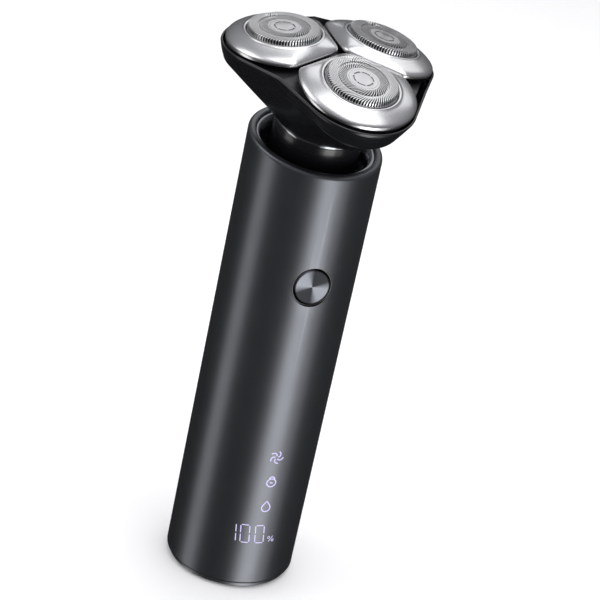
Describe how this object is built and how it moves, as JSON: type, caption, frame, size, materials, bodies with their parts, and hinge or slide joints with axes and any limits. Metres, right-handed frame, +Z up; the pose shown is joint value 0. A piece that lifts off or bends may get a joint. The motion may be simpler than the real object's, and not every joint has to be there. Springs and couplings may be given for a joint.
{
  "type": "electric shaver",
  "caption": "Cordless rotary shaver: slim round handle with a slanted top, sprung gimballed neck and pull-off head with three floating slotted foils over spinning cutters.",
  "frame": {"origin": "centre of the underside of the rubber base pad", "axes": "+Z up along the handle's axis; the power button and display face -Y; +X is to the right seen from the button side"},
  "size_m": [0.0613, 0.0559, 0.1701],
  "materials": {
    "shell_metal": "satin, dark gunmetal coating",
    "dark_plastic": "moulded, fine grain",
    "gloss_black": "polished",
    "collar_gloss": "polished, blue-grey",
    "rim_steel": "satin, fine brushing",
    "foil_steel": "fine ground",
    "cap_steel": "bright",
    "button_metal": "turned face",
    "inner_plastic": "moulded",
    "frame_plastic": "moulded, light grey",
    "gear_plastic": "moulded acetal",
    "rubber": "matt",
    "screw_steel": "zinc",
    "motor_steel": "plated",
    "board_green": "solder mask",
    "cell_wrap": "shrink sleeve",
    "light_guide": "frosted, lit",
    "lamp": "lit",
    "magnet": "nickel plated",
    "brass": "turned"
  },
  "bodies": {
    "handle": {"body_shell": "shell_metal", "base_cap": "dark_plastic", "base_pad": "rubber", "base_screws": "screw_steel", "frame_back": "frame_plastic", "frame_front": "frame_plastic", "main_board": "board_green", "light_guide": "light_guide", "display_lamps": "lamp", "power_switch": "inner_plastic", "charge_port": "screw_steel", "charge_board": "board_green", "battery_cell": "cell_wrap", "cell_cradle": "inner_plastic", "motor_can": "motor_steel", "motor_mount": "inner_plastic", "mount_screws": "screw_steel", "neck_support": "inner_plastic", "top_collar": "collar_gloss", "button_bezel": "gloss_black"},
    "button": {"power_button": "button_metal"},
    "rotor": {"motor_rotor": "motor_steel"},
    "gimbal": {"gimbal_ring": "dark_plastic"},
    "neck": {"neck_tube": "dark_plastic", "neck_ring": "collar_gloss", "neck_magnet": "magnet", "neck_bearing": "brass"},
    "drive": {"drive_shaft": "screw_steel"},
    "head": {"head_bowl": "gloss_black", "head_magnet": "magnet", "head_frame": "dark_plastic", "head_deck": "dark_plastic", "head_screws": "screw_steel", "float_spring_front": "screw_steel", "float_spring_right": "screw_steel", "float_spring_left": "screw_steel"},
    "sun": {"sun_gear": "gear_plastic"},
    "planet_front": {"planet_gear_front": "gear_plastic"},
    "carrier_front": {"float_carrier_front": "dark_plastic"},
    "unit_front": {"cup_front": "gloss_black", "rim_front": "rim_steel", "foil_front": "foil_steel", "foil_cap_front": "cap_steel"},
    "cutter_front": {"cutter_front": "screw_steel"},
    "planet_right": {"planet_gear_right": "gear_plastic"},
    "carrier_right": {"float_carrier_right": "dark_plastic"},
    "unit_right": {"cup_right": "gloss_black", "rim_right": "rim_steel", "foil_right": "foil_steel", "foil_cap_right": "cap_steel"},
    "cutter_right": {"cutter_right": "screw_steel"},
    "planet_left": {"planet_gear_left": "gear_plastic"},
    "carrier_left": {"float_carrier_left": "dark_plastic"},
    "unit_left": {"cup_left": "gloss_black", "rim_left": "rim_steel", "foil_left": "foil_steel", "foil_cap_left": "cap_steel"},
    "cutter_left": {"cutter_left": "screw_steel"}
  },
  "joints": [
    {"name": "button_press", "type": "slide", "parent": "handle", "child": "button", "axis": [0, 1, 0], "range_m": [0, 0.0004], "stiffness_N_per_m": 1500, "springref_m": -0.0004},
    {"name": "motor_spin", "type": "hinge", "parent": "handle", "child": "rotor", "pos_m": [0, 0.00208, 0.1268], "axis": [0, 0, 1], "continuous": true},
    {"name": "neck_pitch", "type": "hinge", "parent": "handle", "child": "gimbal", "pos_m": [0, 0.00208, 0.1268], "axis": [1, 0, 0], "range_deg": [-4, 4], "stiffness_Nm_per_rad": 2},
    {"name": "neck_roll", "type": "hinge", "parent": "gimbal", "child": "neck", "pos_m": [0, 0.00208, 0.1268], "axis": [0, 0.982, 0.1891], "range_deg": [-4, 4], "stiffness_Nm_per_rad": 2},
    {"name": "head_release", "type": "slide", "parent": "neck", "child": "head", "axis": [0, -0.1891, 0.982], "range_m": [0, 0.014]},
    {"name": "drive_spin", "type": "hinge", "parent": "neck", "child": "drive", "pos_m": [0, 0.00208, 0.1268], "axis": [0, -0.1891, 0.982], "continuous": true},
    {"name": "sun_spin", "type": "hinge", "parent": "head", "child": "sun", "pos_m": [0, -0.00284, 0.15233], "axis": [0, -0.1891, 0.982], "continuous": true},
    {"name": "planet_spin_front", "type": "hinge", "parent": "head", "child": "planet_front", "pos_m": [0, -0.01904, 0.14921], "axis": [0, -0.1891, 0.982], "continuous": true},
    {"name": "unit_press_front", "type": "slide", "parent": "head", "child": "carrier_front", "axis": [0, 0.3387, -0.9409], "range_m": [0, 0.0005], "stiffness_N_per_m": 2500, "springref_m": -0.0005, "deforming": ["float_spring_front"]},
    {"name": "unit_tilt_front", "type": "hinge", "parent": "carrier_front", "child": "unit_front", "pos_m": [0, -0.02056, 0.15795], "axis": [1, 0, 0], "range_deg": [-2.5, 2.5], "stiffness_Nm_per_rad": 0.3},
    {"name": "cutter_spin_front", "type": "hinge", "parent": "unit_front", "child": "cutter_front", "pos_m": [0, -0.02255, 0.1635], "axis": [0, -0.3387, 0.9409], "continuous": true},
    {"name": "planet_spin_right", "type": "hinge", "parent": "head", "child": "planet_right", "pos_m": [0.01429, 0.00526, 0.15389], "axis": [0, -0.1891, 0.982], "continuous": true},
    {"name": "unit_press_right", "type": "slide", "parent": "head", "child": "carrier_right", "axis": [-0.134, 0.1109, -0.9848], "range_m": [0, 0.0005], "stiffness_N_per_m": 2500, "springref_m": -0.0005, "deforming": ["float_spring_right"]},
    {"name": "unit_tilt_right", "type": "hinge", "parent": "carrier_right", "child": "unit_right", "pos_m": [0.01415, 0.00351, 0.16259], "axis": [-0.5, 0.8504, 0.1638], "range_deg": [-2.5, 2.5], "stiffness_Nm_per_rad": 0.3},
    {"name": "cutter_spin_right", "type": "hinge", "parent": "unit_right", "child": "cutter_right", "pos_m": [0.01494, 0.00285, 0.1684], "axis": [0.134, -0.1109, 0.9848], "continuous": true},
    {"name": "planet_spin_left", "type": "hinge", "parent": "head", "child": "planet_left", "pos_m": [-0.01429, 0.00526, 0.15389], "axis": [0, -0.1891, 0.982], "continuous": true},
    {"name": "unit_press_left", "type": "slide", "parent": "head", "child": "carrier_left", "axis": [0.134, 0.1109, -0.9848], "range_m": [0, 0.0005], "stiffness_N_per_m": 2500, "springref_m": -0.0005, "deforming": ["float_spring_left"]},
    {"name": "unit_tilt_left", "type": "hinge", "parent": "carrier_left", "child": "unit_left", "pos_m": [-0.01415, 0.00351, 0.16259], "axis": [-0.5, -0.8504, -0.1638], "range_deg": [-2.5, 2.5], "stiffness_Nm_per_rad": 0.3},
    {"name": "cutter_spin_left", "type": "hinge", "parent": "unit_left", "child": "cutter_left", "pos_m": [-0.01494, 0.00285, 0.1684], "axis": [-0.134, -0.1109, 0.9848], "continuous": true}
  ],
  "couplings": [
    {"joint": "drive_spin", "follows": "motor_spin", "ratio": 1},
    {"joint": "sun_spin", "follows": "motor_spin", "ratio": 1},
    {"joint": "planet_spin_front", "follows": "motor_spin", "ratio": -0.7},
    {"joint": "cutter_spin_front", "follows": "motor_spin", "ratio": -0.7},
    {"joint": "planet_spin_right", "follows": "motor_spin", "ratio": -0.7},
    {"joint": "cutter_spin_right", "follows": "motor_spin", "ratio": -0.7},
    {"joint": "planet_spin_left", "follows": "motor_spin", "ratio": -0.7},
    {"joint": "cutter_spin_left", "follows": "motor_spin", "ratio": -0.7}
  ]
}
